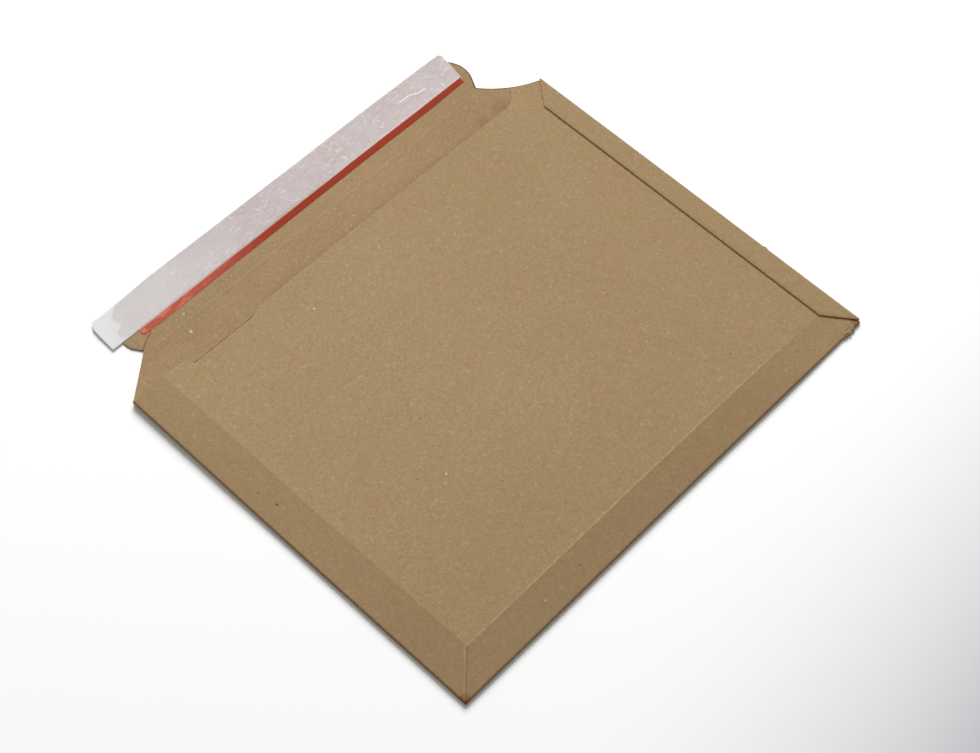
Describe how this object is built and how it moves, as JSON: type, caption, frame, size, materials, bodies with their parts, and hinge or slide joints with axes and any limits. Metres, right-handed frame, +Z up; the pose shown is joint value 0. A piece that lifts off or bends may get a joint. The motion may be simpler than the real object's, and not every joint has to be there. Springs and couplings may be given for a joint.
{
  "type": "cardboard envelope",
  "caption": "Flat board envelope folded from one sheet: a slightly swollen pocket with a glued side seam, and an open closure flap with red tear tape and a release liner.",
  "frame": {"origin": "middle of the footprint, on the surface that the envelope lies on", "axes": "+X along the mouth from the left fold to the glued side seam, +Y from the bottom fold to the closure flap, +Z up"},
  "size_m": [0.334, 0.3102, 0.0055],
  "materials": {
    "kraft_board": "matt solid board with fine fibre flecks",
    "red_tape": "thin glossy film",
    "adhesive": "tacky, slightly milky",
    "release_paper": "smooth siliconed paper"
  },
  "bodies": {
    "pocket": {"envelope_body": "kraft_board"},
    "flap": {"closure_flap": "kraft_board", "tear_tape": "red_tape", "adhesive_strip": "adhesive", "release_liner": "release_paper"}
  },
  "joints": [
    {"name": "closure_flap_hinge", "type": "hinge", "parent": "pocket", "child": "flap", "pos_m": [0, 0.1168, 0.0009], "axis": [1, 0, 0], "range_deg": [0, 162]}
  ]
}
